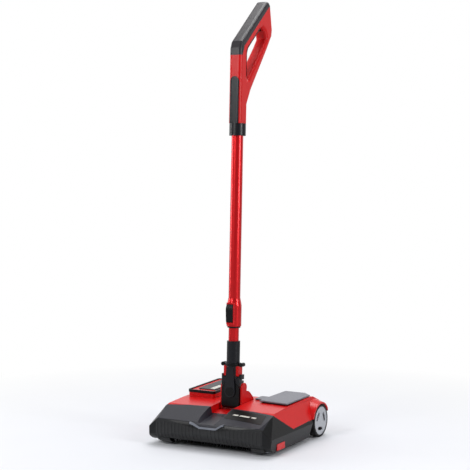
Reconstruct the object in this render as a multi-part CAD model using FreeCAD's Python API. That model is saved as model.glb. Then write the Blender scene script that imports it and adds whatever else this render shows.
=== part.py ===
import FreeCAD, Part
import math
import os

# Cordless roller-brush floor sweeper, built as an assembly of separate parts.
#
# Working frame while modelling: X to the user's right, Y from the nose to the rear, Z up, with
# Y = 0 on the axis of the upright shaft and Z = 0 on the floor. export() moves every part so that
# the origin lies on the floor under the middle of the sweeper's footprint.
# Handle parts are modelled with the shaft upright and then leaned back to the parked angle.

V = FreeCAD.Vector
X_AXIS = V(1, 0, 0)
Y_AXIS = V(0, 1, 0)
Z_AXIS = V(0, 0, 1)

# ---- driving dimensions, millimetres and degrees ----
ORIGIN_Y = 37.0
LEAN = 2.25
JOINT = V(0, 0, 145)
SWIVEL_Z = 139.5
TILT_UPRIGHT = V(0, 6, 149)
TILT = JOINT + FreeCAD.Rotation(X_AXIS, -LEAN).multVec(TILT_UPRIGHT - JOINT)

WALL = 3.0
FLOOR_Z = 11.0
SIDE_X = 187.0
CREASE_X = 162.0
NOSE_Y = -142.5
REAR_Y = 213.0

BRUSH_Y = -92.0
BRUSH_Z = 34.5
BRUSH_R = 33.0
BRUSH_HALF = 121.0
BRUSH_CORE_R = 16.0
STRIP_ROWS = 6
RIB_COUNT = 29
RIB_PITCH = 11.2
RIB_PROUD = 0.9

PULLEY_X0 = -144.0
PULLEY_X1 = -134.0
BRUSH_PULLEY_R = 10.0
MOTOR_PULLEY_R = 6.0
BELT_GAP = 0.3
BELT_T = 1.6
MOTOR_Y = -14.0
MOTOR_Z = 38.0
MOTOR_R = 18.0

WHEEL_Y = 170.0
WHEEL_R = 45.0
WHEEL_X0 = 163.5
WHEEL_X1 = 186.0
RIM_R = 39.0
ARCH_R = 47.5
AXLE_R = 4.0
RUN_GAP = 0.08

ROLLER_X0 = 141.5
ROLLER_X1 = 155.5
ROLLER_Y = -86.0
ROLLER_R = 9.0
ROLLER_AXLE_R = 2.0

TROUGH_HALF = 34.5
EAR_X0 = 28.0
EAR_X1 = 33.0
EAR_R = 14.0
PIN_R = 4.0
BLOCK_HALF = 27.0
BLOCK_DEPTH = 14.0
BLOCK_TOP_R = 29.0
BLOCK_FOOT_Z = 93.0
TONGUE_R = 16.0
TONGUE_T = 4.2

INNER_R = 14.0
OUTER_R = 16.0
SLEEVE_R = 18.0
SLEEVE_Z1 = 276.0
COLLAR_R = 22.5
HANDLE_Z0 = 866.0
HANDLE_HALF = 18.5
HANDLE_ROUND = 9.0
CLAMP_Z0 = 312.4
CLAMP_R = 20.0

BAY = (-153.0, -70.5, 21.0, 195.0)
RIM_CORNER = 8.0
BATTERY = (-135.0, -81.0, 46.0, 182.0)
BATTERY_Z0 = 56.0
BATTERY_Z1 = 128.0
LID = [(68, 26), (157, 16), (156, 160), (131, 183), (68, 184)]
LID_Z0 = 112.0
LID_Z1 = 115.7
BOX = [(74, 28), (150, 28), (150, 157), (128, 179.5), (74, 179.5)]
BOX_Z0 = 17.0
LID_AXIS_Y = 181.0
LID_AXIS_Z = 109.1
KNUCKLES = ((80.0, 86.0), (116.0, 122.0))
EYE_W = 5.7


# ---- small builders ----
def box(x0, x1, y0, y1, z0, z1):
    """Upright block between two corners."""
    return Part.makeBox(x1 - x0, y1 - y0, z1 - z0, V(x0, y0, z0))


def rod_x(y, z, r, x0, x1):
    return Part.makeCylinder(r, x1 - x0, V(x0, y, z), X_AXIS)


def rod_y(x, z, r, y0, y1):
    return Part.makeCylinder(r, y1 - y0, V(x, y0, z), Y_AXIS)


def rod_z(x, y, r, z0, z1):
    return Part.makeCylinder(r, z1 - z0, V(x, y, z0), Z_AXIS)


def pipe_x(y, z, r_out, r_in, x0, x1):
    return rod_x(y, z, r_out, x0, x1).cut(rod_x(y, z, r_in, x0 - 1, x1 + 1))


def pipe_z(x, y, r_out, r_in, z0, z1):
    return rod_z(x, y, r_out, z0, z1).cut(rod_z(x, y, r_in, z0 - 1, z1 + 1))


def rounded_wire(points, radius):
    """Closed wire through the points with every corner rounded by an arc of the radius."""
    edges = []
    ends = []
    count = len(points)
    for i in range(count):
        corner = points[i]
        back = (points[i - 1] - corner).normalize()
        ahead = (points[(i + 1) % count] - corner).normalize()
        half = back.getAngle(ahead) / 2
        run = radius / math.tan(half)
        centre = corner + (back + ahead).normalize() * (radius / math.sin(half))
        middle = centre + (corner - centre).normalize() * radius
        ends.append((corner + back * run, middle, corner + ahead * run))
    for i in range(count):
        start, middle, stop = ends[i]
        following = ends[(i + 1) % count][0]
        edges.append(Part.Arc(start, middle, stop).toShape())
        if (following - stop).Length > 0.01:
            edges.append(Part.LineSegment(stop, following).toShape())
    return Part.Wire(edges)


def prism(points, direction, radius):
    """Extrude the closed outline, with rounded corners if a radius is given."""
    if radius > 0:
        wire = rounded_wire(points, radius)
    else:
        wire = Part.makePolygon(points + [points[0]])
    return Part.Face(wire).extrude(direction)


def prism_x(outline, x0, x1, radius=0):
    """Outline of (y, z) points carried from x0 to x1."""
    return prism([V(x0, y, z) for y, z in outline], V(x1 - x0, 0, 0), radius)


def prism_y(outline, y0, y1, radius=0):
    """Outline of (x, z) points carried from y0 to y1."""
    return prism([V(x, y0, z) for x, z in outline], V(0, y1 - y0, 0), radius)


def prism_z(outline, z0, z1, radius=0):
    """Outline of (x, y) points carried from z0 to z1."""
    return prism([V(x, y, z0) for x, y in outline], V(0, 0, z1 - z0), radius)


def rounded_box(x0, x1, y0, y1, z0, z1, radius):
    """Block with its four upright edges rounded."""
    return prism_z([(x0, y0), (x1, y0), (x1, y1), (x0, y1)], z0, z1, radius)


def mirrored(shape):
    """The same part on the other side of the middle plane."""
    return shape.mirror(V(0, 0, 0), X_AXIS)


def pair(shape):
    return Part.makeCompound([shape, mirrored(shape)])


def join(shapes):
    """Fuse a list of shapes into one solid and clear seams between coplanar faces."""
    whole = shapes[0]
    for shape in shapes[1:]:
        whole = whole.fuse(shape)
    return whole.removeSplitter()


def cut_all(shape, tools):
    for tool in tools:
        shape = shape.cut(tool)
    return shape


def largest(shape):
    """The biggest solid of a shape, without the offcuts that a cut may leave."""
    return max(shape.Solids, key=lambda solid: solid.Volume)


def placed(shape):
    """Copy of a part moved from the working frame to the exported frame."""
    moved = shape.copy()
    moved.translate(V(0, -ORIGIN_Y, 0))
    return moved


def leaned(shape):
    """Copy of an upright handle part at the parked lean of the shaft."""
    tipped = shape.copy()
    tipped.rotate(JOINT, X_AXIS, -LEAN)
    return tipped


# ---- outer form of the floor head ----
def side_outline(inset):
    """Closed (y, z) outline of the head seen from the side, as a face in the plane x = 0."""
    nose = [V(0, -108, FLOOR_Z), V(0, -140.2, 37), V(0, -137, 75.5)]
    back = [V(0, -66, 103), V(0, 9, 107.9), V(0, 153, 110.8), V(0, 172, 110), V(0, 200, 97),
            V(0, REAR_Y - 3, 88), V(0, REAR_Y, 70), V(0, REAR_Y - 4, 34)]
    heel = V(0, 200, FLOOR_Z)
    edges = [Part.Arc(nose[0], V(0, -142.2, 52), nose[2]).toShape()]
    points = [nose[2]] + back + [heel, nose[0]]
    for start, stop in zip(points, points[1:]):
        edges.append(Part.LineSegment(start, stop).toShape())
    face = Part.Face(Part.Wire(edges))
    return face.makeOffset2D(-inset, 2) if inset else face


def front_outline(inset):
    """Closed (x, z) outline of the head seen from the front."""
    half = [(184, FLOOR_Z), (SIDE_X, 47), (CREASE_X, 103), (157, 125)]
    points = [V(x, 0, z) for x, z in half] + [V(-x, 0, z) for x, z in reversed(half)]
    face = Part.Face(Part.makePolygon(points + [points[0]]))
    return face.makeOffset2D(-inset, 2) if inset else face


def plan_outline(inset):
    """Closed (x, y) outline of the head from above, with a slightly bowed nose."""
    rear_r = 24.0
    bow = Part.Arc(V(-184, -134, 0), V(0, NOSE_Y, 0), V(184, -134, 0)).toShape()
    points = [V(184, -134, 0), V(SIDE_X, -130, 0), V(SIDE_X, REAR_Y - rear_r, 0)]
    edges = [bow]
    edges += [Part.LineSegment(a, b).toShape() for a, b in zip(points, points[1:])]
    for side in (1, -1):
        centre = V(side * (SIDE_X - rear_r), REAR_Y - rear_r, 0)
        start = centre + V(side * rear_r, 0, 0)
        middle = centre + V(side * rear_r * math.sqrt(0.5), rear_r * math.sqrt(0.5), 0)
        edges.append(Part.Arc(start, middle, centre + V(0, rear_r, 0)).toShape())
    edges.append(Part.LineSegment(V(SIDE_X - rear_r, REAR_Y, 0), V(rear_r - SIDE_X, REAR_Y, 0)).toShape())
    left = [V(-x, y, z) for x, y, z in points]
    edges += [Part.LineSegment(a, b).toShape() for a, b in zip(left, left[1:])]
    face = Part.Face(Part.Wire(Part.__sortEdges__(edges)))
    return face.makeOffset2D(-inset, 2) if inset else face


def corner_planes(inset):
    """Wedges that bevel the two upper front corners of the head."""
    top = V(CREASE_X, -74, 103)
    rib = V(CREASE_X, -134, 70)
    widest = V(SIDE_X, -133, 47)
    normal = (rib - top).cross(widest - top).normalize()
    if normal.x < 0:
        normal = normal * -1
    wedge = Part.makeBox(200, 200, 200, V(-100, -100, 0))
    wedge.Placement = FreeCAD.Placement(top - normal * inset, FreeCAD.Rotation(Z_AXIS, normal))
    return [wedge, mirrored(wedge)]


def front_channel(drop):
    """Sunk path over the nose between the two shoulders, sunk by drop more for its inside."""
    nose = [(-24, 69.5), (18, 69.5), (25, 79), (28, 150), (-44, 150), (-41, 79)]
    top = [(-31, 82), (31, 82), (TROUGH_HALF, 102), (36, 150), (-36, 150), (-TROUGH_HALF, 102)]
    wires = []
    for outline, y in ((nose, -152), (top, -58)):
        points = [V(x + math.copysign(drop, x), y, z - drop) for x, z in outline]
        wires.append(Part.makePolygon(points + [points[0]]))
    return Part.makeLoft(wires, True, True)


def rear_channel(drop):
    """Trough that the handle joint swings in, wider towards the rear of the head."""
    outline = [(-58.2, 82), (-46, 86), (-30, 89), (24, 89), (60, 91), (230, 84), (230, 160),
               (-58.2, 160)]
    half = TROUGH_HALF + drop
    trough = prism_x([(y, z - drop) for y, z in outline], -half, half)
    bay = [(100 - drop, 89.3 - drop), (230, 84 - drop), (230, 160), (100 - drop, 160)]
    return trough.fuse(prism_x(bay, -64 - drop, 64 + drop))


def head_form(inset):
    """Outer form of the head, or its inside when an inset is given."""
    side = side_outline(inset).extrude(V(400, 0, 0))
    side.translate(V(-200, 0, 0))
    front = front_outline(inset).extrude(V(0, 400, 0))
    front.translate(V(0, -170, 0))
    plan = plan_outline(inset).extrude(V(0, 0, 160))
    form = side.common(front).common(plan)
    return cut_all(form, corner_planes(inset) + [front_channel(inset), rear_channel(inset)])


FORM = head_form(0)
SHELL = FORM.cut(head_form(WALL))


def wheel_room():
    """Open space round the right wheel: the arch, and the gap in front of and behind it."""
    arch = rod_x(WHEEL_Y, WHEEL_R, ARCH_R, WHEEL_X0 - 2.5, SIDE_X + 5)
    foot = [(97, 0), (99, 20), (121, 57), (150, 60), (230, 60), (230, 0)]
    return join([arch, prism_x(foot, WHEEL_X0 - 2.5, SIDE_X + 5)])


def black_zone():
    """Everything that belongs to the dark lower body, front cover included."""
    side = [(-160, 0), (-160, 130), (-74, 130), (-74, 99), (0, 53), (128, 57), (230, 57), (230, 0)]
    zone = prism_x(side, -200, 200)
    seam = [(-200, -160), (200, -160), (200, -76), (CREASE_X, -74), (35, -58), (-35, -58),
            (-CREASE_X, -74), (-200, -76)]
    cap = prism_z(seam, 60, 140)
    red_top = box(-160, 160, -100, 0, 99.5, 140)
    return zone.cut(red_top).fuse(cap)


def cover_zone():
    """The grey sloping cover between the deck and the ribbed bumper."""
    return prism_x([(-150, 78), (-150, 140), (-50, 140), (-50, 72), (-120, 66), (-134, 72.5)],
                   -CREASE_X, CREASE_X)


def notch_zone():
    """Front end of the channel floor, which also belongs to the cover."""
    return prism_y([(-22, 59), (27, 59.5), (44, 70), (46, 90), (-46, 90), (-43, 67.5)], -142.4, -110)


def bumper_zone():
    """The ribbed nose below the cover."""
    side = [(-150, 0), (-150, 76), (-137, 73), (-122, 66), (-104, 30), (-104, 0)]
    return prism_x(side, -CREASE_X, CREASE_X)


def roller_pockets():
    return pair(box(ROLLER_X0 - 1.5, ROLLER_X1 + 1.5, -97, -75, 0, 19.2))


def underside_cuts():
    """Brush mouth, roller pockets and the raised front edge between the cheeks."""
    mouth = rounded_box(-125, 125, -170, -54, 0, 22, 6)
    return [mouth, roller_pockets()]


BLACK = black_zone()
BLACK_SHELL = SHELL.common(BLACK)
RED_SHELL = SHELL.cut(BLACK)


def lower_housing():
    """Dark body: floor, side skirts, wheel wells and the bearings' posts."""
    body = BLACK_SHELL.cut(cover_zone()).cut(notch_zone()).cut(bumper_zone())
    body = cut_all(body, underside_cuts() + [wheel_room(), mirrored(wheel_room())])
    post = prism_x([(-103.6, FLOOR_Z + 1), (-103.6, 50), (-78, 50), (-60, FLOOR_Z + 1)], 125.5, 131)
    post = post.cut(box(125, 132, -97.5, -60, 0, 20)).cut(rod_x(BRUSH_Y, BRUSH_Z, 7, 125, 132))
    well = prism_x([(92, FLOOR_Z), (92, 60), (112, 84), (150, 96), (196, 90), (205, 66),
                    (202, FLOOR_Z)], 158, 161)
    boss = rod_x(WHEEL_Y, WHEEL_R, 9, 152, 161)
    boss = boss.cut(rod_x(WHEEL_Y, WHEEL_R, AXLE_R, 150, 162))
    well = cut_all(well, [rod_x(WHEEL_Y, WHEEL_R, AXLE_R, 157, 162), fender(), RED_SHELL])
    cheek = box(ROLLER_X0 - 3.5, ROLLER_X1 + 3.5, -99, -73, FLOOR_Z, 21.2)
    cheek = cheek.cut(rod_x(ROLLER_Y, ROLLER_R, ROLLER_AXLE_R, 130, 170))
    wall = box(-125, 125, -54, -51, FLOOR_Z, 24)
    parts = [body, wall]
    for piece in (post, well, boss, cheek):
        parts.append(piece)
        parts.append(mirrored(piece))
    house = join(parts).cut(roller_pockets())
    button_hole = box(178, 190, -98.4, -53.6, 13.6, 31.4)
    return largest(house.cut(button_hole))


def front_cover():
    """Grey sloping cover with two shoulders and the front of the channel."""
    piece = BLACK_SHELL.common(cover_zone().fuse(notch_zone()))
    return largest(piece.cut(badge_pocket()))


def cover_slope(x_low, x_high, lift, depth):
    """Slab lying in the slope of the right shoulder, from lift above it to depth below."""
    rise = (103 - 75.5) / (137 - 66)
    near = -130.0
    far = -60.0
    low = 75.5 + rise * (near + 137)
    high = 75.5 + rise * (far + 137)
    outline = [(near, low + lift), (far, high + lift), (far, high - depth), (near, low - depth)]
    return prism_x(outline, x_low, x_high)


def badge_plan(grow):
    outline = [(31.5 - grow, -107.5 - grow), (150 + grow, -120 - grow), (145 + grow, -77.5 + grow),
               (38.5 - grow, -65.5 + grow)]
    return prism_z(outline, 60, 120, 2)


def badge_pocket():
    return cover_slope(20, 160, 2, 1.0).common(badge_plan(0.1))


def badge_plate():
    """Blank dark plate let into the right shoulder."""
    return cover_slope(20, 160, 0.4, 1.0).common(badge_plan(0))


def front_bumper():
    """Ribbed nose guard with a cut-out over the brush, and two low cheeks."""
    piece = BLACK_SHELL.common(bumper_zone()).cut(notch_zone()).cut(cover_zone())
    cheek = prism_y([(124, 4), (150, 4.5), (161.5, 12), (161.5, 20), (125, 20), (120, 8)],
                    -125, -104.5)
    nose = prism_x([(-104.2, 3), (-112, 4), (-128, 16), (-137, 30), (-137, 40), (-104.2, 40)],
                   100, 180)
    cheek = cheek.common(nose)
    mouth = rounded_box(-125, 125, -170, -54, 0, 21, 6)
    shape = join([piece.cut(mouth), cheek, mirrored(cheek)])
    return largest(shape.fuse(ribs(mouth)))


def ribs(mouth):
    """Low upright ribs over the whole nose."""
    far = FORM.copy()
    far.translate(V(0, -RIB_PROUD, 0))
    near = FORM.copy()
    near.translate(V(0, 1.5, 0))
    half = RIB_COUNT // 2
    bars = []
    for i in range(-half, half + 1):
        bars.append(box(i * RIB_PITCH - 1.6, i * RIB_PITCH + 1.6, -150, -118, 16, 66))
    layer = far.cut(near).cut(front_channel(2))
    return cut_all(Part.makeCompound(bars).common(layer),
                   [mouth, cover_zone(), notch_zone(), front_lip()])


def front_lip():
    """Light trim strip along the notch in the top edge of the nose."""
    line = [(-52, 69.5), (-43, 67.5), (-22, 59), (27, 59.5), (44, 70), (50, 71.5)]
    top = [(x, z + 5) for x, z in reversed(line)]
    return largest(prism_y(line + top, -143.6, -136.5).cut(FORM))


def fender():
    """Flared band over the right wheel, narrowing outwards."""
    cone = Part.makeCone(60, 51.5, SIDE_X - 158, V(158, WHEEL_Y, WHEEL_R), X_AXIS)
    room = rod_x(WHEEL_Y, WHEEL_R, ARCH_R, 150, 200)
    above = prism_x([(100, 57), (128, 57), (150, 60), (240, 60), (240, 160), (100, 160)], 150, 200)
    limit = prism_x([(90, 50), (90, 130), (REAR_Y, 130), (REAR_Y, 50)], 150, 200)
    return cone.cut(room).common(above).common(limit)


def ear():
    """Right-hand lug of the handle joint with a brace running back along the trough."""
    disc = rod_x(TILT.y, TILT.z, EAR_R, EAR_X0, EAR_X1)
    post = prism_x([(TILT.y - EAR_R, TILT.z), (-10, 86), (64, 88), (58, 114.6), (39, 132), (30, 137),
                    (18, 139.5), (TILT.y + EAR_R, TILT.z)], EAR_X0, EAR_X1)
    return disc.fuse(post).cut(rod_x(TILT.y, TILT.z, PIN_R, EAR_X0 - 1, EAR_X1 + 1))


def upper_housing():
    """Red deck with the channel, the battery bay, both fenders and the joint's ears."""
    x0, x1, y0, y1 = BAY
    bay = prism_x([(y0, 95), (y0, 120), (y1, 124), (y1, 90)], x0, x1)
    bay = bay.common(rounded_box(x0, x1, y0, y1, 80, 140, RIM_CORNER - 1.5))
    bay_room = box(x0 + WALL, x1 - WALL, y0 + WALL, y1 - WALL, 0, 140)
    deck = RED_SHELL.fuse(bay).cut(bay_room)
    hatch = box_plan(2, 90, 140, 4)
    vents = [box(-45 + i * 14, -39 + i * 14, 195, 230, 64, 78) for i in range(7)]
    arch = fender()
    house = join([deck, arch, mirrored(arch), ear(), mirrored(ear())])
    cuts = [wheel_room(), mirrored(wheel_room()), hatch, latch_slot()] + vents
    return largest(cut_all(house, cuts))


def bay_rim():
    """Dark rim round the top of the battery bay."""
    x0, x1, y0, y1 = BAY
    outer = prism_x([(y0 - 1.5, 120.1), (y0 - 1.5, 127.5), (y1 + 1.5, 131.5), (y1 + 1.5, 124.1)],
                    x0 - 1.5, x1 + 1.5)
    outer = outer.common(rounded_box(x0 - 1.5, x1 + 1.5, y0 - 1.5, y1 + 1.5, 100, 150, RIM_CORNER))
    return outer.cut(rounded_box(x0 + WALL, x1 - WALL, y0 + WALL, y1 - WALL, 100, 150, 4))


def bay_bezel():
    """Red inner frame of the bay, open for the battery."""
    x0, x1, y0, y1 = BAY
    slab = prism_x([(y0 + WALL, 120.5), (y0 + WALL, 125), (y1 - WALL, 129), (y1 - WALL, 124.5)],
                   x0 + WALL, x1 - WALL)
    slab = slab.common(rounded_box(x0 + WALL, x1 - WALL, y0 + WALL, y1 - WALL, 100, 150, 4))
    bx0, bx1, by0, by1 = BATTERY
    return slab.cut(rounded_box(bx0 - 0.6, bx1 + 0.6, by0 - 0.6, by1 + 0.6, 90, 140, 6))


def battery_dock():
    """Open tray that guides the battery, with three contact blades standing in it."""
    bx0, bx1, by0, by1 = BATTERY
    tray_z0 = BATTERY_Z0 - 4
    tray = rounded_box(bx0 - 3, bx1 + 3, by0 - 3, by1 + 3, tray_z0, 100, 8)
    room = rounded_box(bx0 - 0.5, bx1 + 0.5, by0 - 0.5, by1 + 0.5, BATTERY_Z0 - 0.5, 110, 6)
    feet = [rod_z(x, y, 4, FLOOR_Z + WALL, tray_z0) for x in (-132, -84) for y in (64, 164)]
    return join([tray.cut(room)] + feet)


# ---- brush and drive ----
def brush_core():
    """Moulded roller body with a recess at each end for its cap."""
    core = rod_x(BRUSH_Y, BRUSH_Z, BRUSH_CORE_R, -BRUSH_HALF, BRUSH_HALF)
    return core.cut(rod_x(BRUSH_Y, BRUSH_Z, 4, -200, 200))


def brush_bristles():
    """Rows of bristle strip standing on the core, in a V that meets at mid length."""
    rows = []
    thick = 7.0
    for i in range(STRIP_ROWS):
        blade = box(-BRUSH_HALF + 2, BRUSH_HALF - 2, BRUSH_Y - thick / 2, BRUSH_Y + thick / 2,
                    BRUSH_Z + BRUSH_CORE_R - 1, BRUSH_Z + BRUSH_R + 2)
        blade.rotate(V(0, BRUSH_Y, BRUSH_Z), X_AXIS, i * 360 / STRIP_ROWS + 30)
        rows.append(blade)
    ring = pipe_x(BRUSH_Y, BRUSH_Z, BRUSH_R, BRUSH_CORE_R, -BRUSH_HALF, BRUSH_HALF)
    return Part.makeCompound(Part.makeCompound(rows).common(ring).Solids)


def brush_shaft():
    """Steel shaft through the roller, running on to the pulley."""
    return rod_x(BRUSH_Y, BRUSH_Z, 4, PULLEY_X0 - 2, 134)


def brush_bearings():
    """Sleeve bearings held in the two posts."""
    bush = pipe_x(BRUSH_Y, BRUSH_Z, 7, 4 + RUN_GAP, 124, 131)
    return pair(bush)


def toothed_pulley(y, z, radius, bore, x0, x1):
    """Belt pulley with flanges."""
    drum = rod_x(y, z, radius, x0, x1)
    flange = rod_x(y, z, radius + 2.2, x0 - 1.2, x0)
    other = rod_x(y, z, radius + 2.2, x1, x1 + 1.2)
    return join([drum, flange, other]).cut(rod_x(y, z, bore, x0 - 5, x1 + 5))


def drive_belt():
    """Flat loop round the two pulleys."""
    span = V(0, MOTOR_Y - BRUSH_Y, MOTOR_Z - BRUSH_Z)
    loops = []
    for extra in (BELT_GAP + BELT_T, BELT_GAP):
        big = BRUSH_PULLEY_R + extra
        small = MOTOR_PULLEY_R + extra
        swing = math.asin((big - small) / span.Length)
        base = math.atan2(span.z, span.y)
        points = []
        for sign in (1, -1):
            angle = base + sign * (math.pi / 2 - swing)
            way = V(0, math.cos(angle), math.sin(angle))
            points.append((V(PULLEY_X0 + 1, BRUSH_Y, BRUSH_Z) + way * big,
                           V(PULLEY_X0 + 1, MOTOR_Y, MOTOR_Z) + way * small))
        back = V(0, -math.cos(base), -math.sin(base))
        far_big = V(PULLEY_X0 + 1, BRUSH_Y, BRUSH_Z) + back * big
        far_small = V(PULLEY_X0 + 1, MOTOR_Y, MOTOR_Z) - back * small
        edges = [Part.LineSegment(points[0][0], points[0][1]).toShape(),
                 Part.Arc(points[0][1], far_small, points[1][1]).toShape(),
                 Part.LineSegment(points[1][1], points[1][0]).toShape(),
                 Part.Arc(points[1][0], far_big, points[0][0]).toShape()]
        loops.append(Part.Face(Part.Wire(edges)).extrude(V(PULLEY_X1 - PULLEY_X0 - 2, 0, 0)))
    return loops[0].cut(loops[1])


def motor_case():
    """Small direct-current motor lying in front of the battery tray."""
    can = rod_x(MOTOR_Y, MOTOR_Z, MOTOR_R, -128, -74)
    nose = rod_x(MOTOR_Y, MOTOR_Z, 6, -131, -128)
    return join([can, nose]).cut(rod_x(MOTOR_Y, MOTOR_Z, 1.6 + RUN_GAP, -132, -76))


def motor_bracket():
    """Cradle that ties the motor to the floor of the housing."""
    block = box(-122, -80, MOTOR_Y - 23, MOTOR_Y + 23, FLOOR_Z + WALL, MOTOR_Z)
    block = block.cut(box(-114, -88, MOTOR_Y - 24, MOTOR_Y + 24, FLOOR_Z, 60))
    block = block.cut(rod_x(MOTOR_Y, MOTOR_Z, MOTOR_R, -140, -60))
    base = box(-122, -80, MOTOR_Y - 23, MOTOR_Y + 23, FLOOR_Z + WALL, FLOOR_Z + WALL + 2)
    return join([block, base])


def motor_shaft():
    return rod_x(MOTOR_Y, MOTOR_Z, 1.6, PULLEY_X0 - 2, -77)


def control_board():
    """Circuit board with two tall parts, flat on the housing floor beside the motor."""
    board = box(-55, 15, 60, 120, FLOOR_Z + WALL + 4, FLOOR_Z + WALL + 5.6)
    parts = [box(-50, -30, 66, 90, board.BoundBox.ZMax, 32), rod_z(0, 75, 6, board.BoundBox.ZMax, 36)]
    posts = [rod_z(x, y, 3, FLOOR_Z + WALL, board.BoundBox.ZMin) for x in (-50, 10) for y in (65, 115)]
    return join([board] + parts + posts)


# ---- running gear ----
def wheel_hub():
    """Right wheel's hub: rim, face plate and a boss, with three wide slots round it."""
    disc = rod_x(WHEEL_Y, WHEEL_R, RIM_R, WHEEL_X0, WHEEL_X1 - 1)
    hollow = rod_x(WHEEL_Y, WHEEL_R, RIM_R - 3, WHEEL_X0 - 1, WHEEL_X1 - 5)
    boss = rod_x(WHEEL_Y, WHEEL_R, 9, WHEEL_X0, WHEEL_X1 - 4)
    slots = []
    for i in range(3):
        slot = prism_x([(WHEEL_Y - 12, WHEEL_R + 17), (WHEEL_Y + 12, WHEEL_R + 17),
                        (WHEEL_Y + 15.5, WHEEL_R + 24), (WHEEL_Y, WHEEL_R + 28),
                        (WHEEL_Y - 15.5, WHEEL_R + 24)], WHEEL_X0 - 1, WHEEL_X1 + 1, 2)
        slot.rotate(V(0, WHEEL_Y, WHEEL_R), X_AXIS, 51 + i * 120)
        slots.append(slot)
    hub = join([disc.cut(hollow), boss])
    return cut_all(hub, slots + [rod_x(WHEEL_Y, WHEEL_R, AXLE_R + RUN_GAP, WHEEL_X0 - 5, 181)])


def wheel_tyre():
    """Right wheel's tyre, crowned at its edges."""
    ring = pipe_x(WHEEL_Y, WHEEL_R, WHEEL_R, RIM_R, WHEEL_X0, WHEEL_X1)
    edges = [e for e in ring.Edges if e.Curve.TypeId == "Part::GeomCircle" and e.Curve.Radius > 44]
    return ring.makeFillet(3, edges)


def wheel_axles():
    """Stub axles pressed into the wheel wells."""
    return pair(rod_x(WHEEL_Y, WHEEL_R, AXLE_R, 152, 180))


def roller():
    """Right front support roller."""
    body = rod_x(ROLLER_Y, ROLLER_R, ROLLER_R, ROLLER_X0, ROLLER_X1)
    return body.makeChamfer(1.2, body.Edges).cut(
        rod_x(ROLLER_Y, ROLLER_R, ROLLER_AXLE_R + RUN_GAP, 130, 170))


def roller_axles():
    return pair(rod_x(ROLLER_Y, ROLLER_R, ROLLER_AXLE_R, ROLLER_X0 - 3.5, ROLLER_X1 + 3.5))


# ---- dirt box, lid and catch ----
def box_plan(grow, z0, z1, radius):
    """Upright prism on the dirt box's outline, grown outwards."""
    face = Part.Face(Part.makePolygon([V(x, y, z0) for x, y in BOX + [BOX[0]]]))
    if grow:
        face = face.makeOffset2D(grow, 2)
    block = face.extrude(V(0, 0, z1 - z0))
    upright = [edge for edge in block.Edges if abs(edge.tangentAt(edge.FirstParameter).z) > 0.9]
    return block.makeFillet(radius, upright)


def dirt_box():
    """Lift-out tray with a mouth towards the brush and two hinge knuckles at its rear."""
    x0, y0 = BOX[0]
    x1, y1 = BOX[1][0], BOX[-1][1]
    tray = box_plan(0, BOX_Z0, 105, 6)
    room = box_plan(-2.2, BOX_Z0 + 2.2, 120, 4)
    mouth = box(x0 + 8, x1 - 8, y0 - 5, y0 + 5, BOX_Z0 + 8, 72)
    tray = tray.cut(room).cut(mouth)
    for low, high in KNUCKLES:
        lug = box(low, high, y1 - 2.2, LID_AXIS_Y, 96, LID_AXIS_Z)
        tray = tray.fuse(lug).fuse(rod_x(LID_AXIS_Y, LID_AXIS_Z, 2.6, low, high))
    return tray.cut(rod_x(LID_AXIS_Y, LID_AXIS_Z, 1.2, 50, 170)).removeSplitter()


def lid_pin():
    return rod_x(LID_AXIS_Y, LID_AXIS_Z, 1.2, KNUCKLES[0][0] - 0.5, KNUCKLES[1][1] + 0.5)


def dirt_lid():
    """Grey hatch over the dirt box, with two hinge eyes under its rear edge."""
    plate = prism_z(LID, LID_Z0, LID_Z1, 2)
    eyes = []
    for low in (KNUCKLES[0][1] + 0.3, KNUCKLES[1][0] - 0.3 - EYE_W):
        high = low + EYE_W
        eyes.append(rod_x(LID_AXIS_Y, LID_AXIS_Z, 2.6, low, high))
        eyes.append(box(low, high, LID_AXIS_Y - 2.6, LID_AXIS_Y + 2.6, LID_AXIS_Z, LID_Z0 + 1))
    lid = join([plate] + eyes).cut(rod_x(LID_AXIS_Y, LID_AXIS_Z, 1.2 + RUN_GAP, 50, 170))
    top = [edge for edge in lid.Edges if min(vertex.Z for vertex in edge.Vertexes) > LID_Z1 - 0.01]
    return lid.makeChamfer(1.0, top)


def latch_slot():
    return box(40.5, 62, 55, 82, 90, 113)


def lid_latch():
    """Finger tab beside the hatch, running in a slot of the deck."""
    tab = rounded_box(40, 67.6, 53, 94, 110.2, 113.2, 4)
    stem = box(45, 58, 57, 80, 98, 110.4)
    return join([tab, stem])


# ---- battery ----
def battery_case():
    """Lower case of the battery pack, hollow for the cells."""
    x0, x1, y0, y1 = BATTERY
    case = rounded_box(x0, x1, y0, y1, BATTERY_Z0, 122, 5)
    return case.cut(rounded_box(x0 + 3, x1 - 3, y0 + 3, y1 - 3, BATTERY_Z0 + 3, 124, 3)).cut(
        button_room())


def battery_top():
    """Dark top shell of the battery pack."""
    x0, x1, y0, y1 = BATTERY
    top = prism_x([(y0, 122), (y0, BATTERY_Z1), (y1, BATTERY_Z1 + 3), (y1, 122)], x0, x1)
    top = top.common(rounded_box(x0, x1, y0, y1, 110, 140, 5))
    return top.cut(button_room()).cut(label_plate(0.05))


def label_plate(grow):
    """Blank pale plate on the battery's top."""
    x0, y0 = -102.0 - grow, 52.0 - grow
    x1, y1 = -86.0 + grow, 104.0 + grow
    base = BATTERY_Z1 + (y0 - BATTERY[2]) * 3 / (BATTERY[3] - BATTERY[2])
    rise = (y1 - y0) * 3 / (BATTERY[3] - BATTERY[2])
    return prism_x([(y0, base - 1), (y0, base + 0.2), (y1, base + rise + 0.2), (y1, base + rise - 1)],
                   x0, x1)


def battery_label():
    return label_plate(0)


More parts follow.
